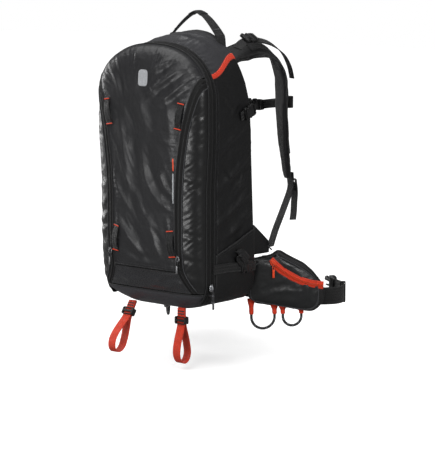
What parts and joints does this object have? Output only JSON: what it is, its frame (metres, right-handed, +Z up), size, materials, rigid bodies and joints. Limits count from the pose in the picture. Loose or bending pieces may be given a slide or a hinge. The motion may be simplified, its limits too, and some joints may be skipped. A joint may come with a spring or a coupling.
{
  "type": "avalanche airbag backpack",
  "caption": "Ski touring backpack with opening zipped front, gas inflation system, shoulder straps with pull handle and padded hip belt with pockets and gear loops.",
  "frame": {"origin": "centre of the flat reinforced patch under the base, on its lower face, midway between the two sides", "axes": "+Z up, -Y towards the front panel, +Y towards the wearer, +X to the right when facing the front panel"},
  "size_m": [0.4654, 0.5032, 0.725],
  "materials": {
    "coated_shell": "glossy coated ripstop",
    "lower_shell": "glossy grey coated fabric",
    "matte_shell": "matte woven nylon",
    "hood_shell": "glossy coated fabric",
    "zip_tape": "matte reverse coil zip",
    "black_webbing": "woven webbing",
    "orange_webbing": "woven webbing",
    "padding": "padded mesh and nylon",
    "black_plastic": "moulded acetal",
    "slider_metal": "plated",
    "slider_black": "painted",
    "slider_orange": "painted",
    "cord": "braided cord",
    "light_alloy": "satin",
    "pin_steel": "ground",
    "orange_plastic": "moulded",
    "airbag_nylon": "thin coated nylon"
  },
  "bodies": {
    "bag": {"side_panel_left": "matte_shell", "side_panel_right": "matte_shell", "hood_panel": "hood_shell", "hood_tapes": "orange_webbing", "base_panel": "lower_shell", "back_panel": "matte_shell", "lumbar_pad": "padding", "frame_sheet": "black_plastic", "frame_stays": "light_alloy", "main_zip": "zip_tape", "shoulder_strap_left": "padding", "shoulder_strap_right": "padding", "adjuster_webbing": "black_webbing", "ladder_locks": "black_plastic", "load_lifters": "black_webbing", "lifter_buckles": "black_plastic", "compression_straps": "black_webbing", "compression_buckles": "black_plastic", "inflator_head": "light_alloy", "trigger_cable": "cord", "airbag_bladder": "airbag_nylon"},
    "main_flap": {"lower_front_panel": "lower_shell", "gusset_left": "coated_shell", "gusset_right": "coated_shell", "pocket_divider": "matte_shell", "tool_zips": "zip_tape"},
    "front_flap": {"front_panel": "coated_shell", "tool_tabs": "black_webbing"},
    "tool_slider_left": {"tool_slider_left": "slider_black"},
    "main_slider_left": {"main_slider_left": "slider_metal"},
    "main_pull_left": {"main_pull_left": "cord"},
    "tool_slider_right": {"tool_slider_right": "slider_black"},
    "main_slider_right": {"main_slider_right": "slider_metal"},
    "main_pull_right": {"main_pull_right": "cord"},
    "haul_loop": {"haul_loop": "black_webbing"},
    "hip_wing_right": {"belt_wing_right": "padding", "belt_pocket_right": "padding", "belt_webbing_right": "black_webbing", "belt_clip": "black_plastic"},
    "belt_slider_right": {"belt_slider_right": "slider_orange"},
    "gear_loop_front_right": {"gear_loop_front_right": "cord"},
    "gear_loop_rear_right": {"gear_loop_rear_right": "cord"},
    "hip_wing_left": {"belt_wing_left": "padding", "belt_pocket_left": "padding", "belt_webbing_left": "black_webbing", "belt_socket": "black_plastic"},
    "belt_slider_left": {"belt_slider_left": "slider_orange"},
    "gear_loop_front_left": {"gear_loop_front_left": "cord"},
    "gear_loop_rear_left": {"gear_loop_rear_left": "cord"},
    "axe_loop_right": {"axe_loop_right": "orange_webbing", "axe_buckle_right": "black_plastic"},
    "axe_loop_left": {"axe_loop_left": "orange_webbing", "axe_buckle_left": "black_plastic"},
    "sternum_left": {"sternum_strap_left": "black_webbing", "sternum_socket": "black_plastic"},
    "sternum_right": {"sternum_strap_right": "black_webbing"},
    "sternum_clip": {"sternum_clip": "black_plastic"},
    "gas_cylinder": {"gas_cylinder": "light_alloy"},
    "trigger_handle": {"trigger_handle": "orange_plastic"},
    "piercing_pin": {"piercing_pin": "pin_steel"}
  },
  "joints": [
    {"name": "main_flap_hinge", "type": "hinge", "parent": "bag", "child": "main_flap", "pos_m": [0, -0.091, 0.038], "axis": [1, 0, 0], "range_deg": [0, 60]},
    {"name": "front_flap_hinge", "type": "hinge", "parent": "main_flap", "child": "front_flap", "pos_m": [0, -0.0995, 0.0885], "axis": [1, 0, 0], "range_deg": [0, 45]},
    {"name": "tool_slider_left_slide", "type": "slide", "parent": "main_flap", "child": "tool_slider_left", "axis": [0, 0, 1], "range_m": [0, 0.08]},
    {"name": "main_slider_left_slide", "type": "slide", "parent": "bag", "child": "main_slider_left", "axis": [0, 0, 1], "range_m": [0, 0.13]},
    {"name": "tool_slider_right_slide", "type": "slide", "parent": "main_flap", "child": "tool_slider_right", "axis": [0, 0, 1], "range_m": [0, 0.08]},
    {"name": "main_slider_right_slide", "type": "slide", "parent": "bag", "child": "main_slider_right", "axis": [0, 0, 1], "range_m": [0, 0.13]},
    {"name": "main_pull_right_swing", "type": "hinge", "parent": "main_slider_right", "child": "main_pull_right", "pos_m": [0.1415, -0.055, 0.056], "axis": [0, -1, 0], "range_deg": [0, 80]},
    {"name": "main_pull_left_swing", "type": "hinge", "parent": "main_slider_left", "child": "main_pull_left", "pos_m": [-0.1415, -0.055, 0.101], "axis": [0, 1, 0], "range_deg": [0, 80]},
    {"name": "haul_loop_fold", "type": "hinge", "parent": "bag", "child": "haul_loop", "pos_m": [0, 0.072, 0.564], "axis": [1, 0, 0], "range_deg": [-40, 40]},
    {"name": "hip_wing_right_fold", "type": "hinge", "parent": "bag", "child": "hip_wing_right", "pos_m": [0.112, 0.096, 0.04], "axis": [0, 0, 1], "range_deg": [-30, 25]},
    {"name": "belt_slider_right_run", "type": "hinge", "parent": "hip_wing_right", "child": "belt_slider_right", "pos_m": [0.24846, 0.22629, 0.2155], "axis": [0.7071, -0.7071, 0], "range_deg": [0, 34]},
    {"name": "gear_loop_front_right_swing", "type": "hinge", "parent": "hip_wing_right", "child": "gear_loop_front_right", "pos_m": [0.17591, 0.1792, -0.027], "axis": [0.7071, 0.7071, 0], "range_deg": [-40, 40]},
    {"name": "gear_loop_rear_right_swing", "type": "hinge", "parent": "hip_wing_right", "child": "gear_loop_rear_right", "pos_m": [0.13136, 0.13465, -0.027], "axis": [0.7071, 0.7071, 0], "range_deg": [-40, 40]},
    {"name": "hip_wing_left_fold", "type": "hinge", "parent": "bag", "child": "hip_wing_left", "pos_m": [-0.112, 0.096, 0.04], "axis": [0, 0, -1], "range_deg": [-30, 25]},
    {"name": "belt_slider_left_run", "type": "hinge", "parent": "hip_wing_left", "child": "belt_slider_left", "pos_m": [-0.24846, 0.22629, 0.2155], "axis": [0.7071, 0.7071, 0], "range_deg": [0, 34]},
    {"name": "gear_loop_front_left_swing", "type": "hinge", "parent": "hip_wing_left", "child": "gear_loop_front_left", "pos_m": [-0.17591, 0.1792, -0.027], "axis": [0.7071, -0.7071, 0], "range_deg": [-40, 40]},
    {"name": "gear_loop_rear_left_swing", "type": "hinge", "parent": "hip_wing_left", "child": "gear_loop_rear_left", "pos_m": [-0.13136, 0.13465, -0.027], "axis": [0.7071, -0.7071, 0], "range_deg": [-40, 40]},
    {"name": "axe_loop_right_swing", "type": "hinge", "parent": "bag", "child": "axe_loop_right", "pos_m": [0.066, -0.06, 0.007], "axis": [1, 0, 0], "range_deg": [-80, 12]},
    {"name": "axe_loop_left_swing", "type": "hinge", "parent": "bag", "child": "axe_loop_left", "pos_m": [-0.066, -0.06, 0.007], "axis": [1, 0, 0], "range_deg": [-47, 45]},
    {"name": "sternum_left_height", "type": "slide", "parent": "bag", "child": "sternum_left", "axis": [0, 0, 1], "range_m": [-0.025, 0.025]},
    {"name": "sternum_right_height", "type": "slide", "parent": "bag", "child": "sternum_right", "axis": [0, 0, 1], "range_m": [-0.025, 0.025]},
    {"name": "sternum_clip_release", "type": "slide", "parent": "sternum_right", "child": "sternum_clip", "axis": [0.9903, 0, 0.1386], "range_m": [0, 0.025]},
    {"name": "gas_cylinder_unscrew", "type": "hinge", "parent": "bag", "child": "gas_cylinder", "pos_m": [-0.062, 0.034, 0.062], "axis": [0, 0, 1], "continuous": true},
    {"name": "trigger_pull", "type": "slide", "parent": "bag", "child": "trigger_handle", "axis": [0, 0.1483, -0.9889], "range_m": [0, 0.045]},
    {"name": "piercing_stroke", "type": "slide", "parent": "bag", "child": "piercing_pin", "axis": [0, 0, -1], "range_m": [0, 0.0045]}
  ],
  "couplings": [
    {"joint": "sternum_right_height", "follows": "sternum_left_height", "ratio": 1},
    {"joint": "piercing_stroke", "follows": "trigger_pull", "ratio": 0.1}
  ]
}
